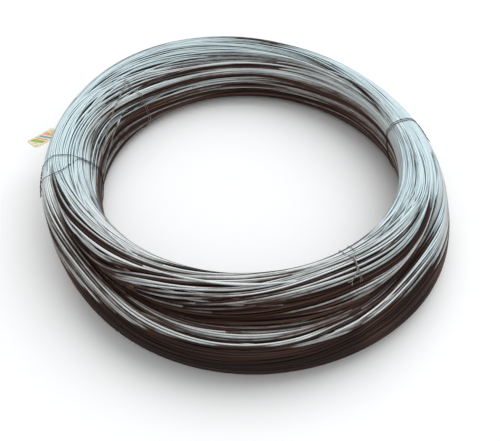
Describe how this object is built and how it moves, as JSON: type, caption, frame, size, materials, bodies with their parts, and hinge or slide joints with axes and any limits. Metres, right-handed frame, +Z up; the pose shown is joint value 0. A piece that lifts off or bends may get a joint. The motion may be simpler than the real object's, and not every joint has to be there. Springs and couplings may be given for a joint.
{
  "type": "coil of wire rod",
  "caption": "Flat-lying ring coil of drawn steel wire with an open eye, bound by doubled ties of thin binding wire with twisted ends, and a small tag wired to its rim.",
  "frame": {"origin": "at floor level, under the middle of the whole coil", "axes": "+Z up along the coil's axis, +X to the coil's right side, -Y to its front"},
  "size_m": [0.8233, 0.832, 0.1283],
  "materials": {
    "drawn_steel": "drawn wire, pale where it lies open and stained brown on the sides",
    "dark_binding_wire": "black annealed",
    "bright_binding_wire": "bright",
    "printed_card": "matt, with plain colour fields"
  },
  "bodies": {
    "root": {"wire_coil": "drawn_steel", "left_tie": "dark_binding_wire", "right_tie": "dark_binding_wire", "front_tie": "bright_binding_wire", "back_tie": "bright_binding_wire", "tag": "printed_card", "tag_wire": "dark_binding_wire"}
  },
  "joints": []
}
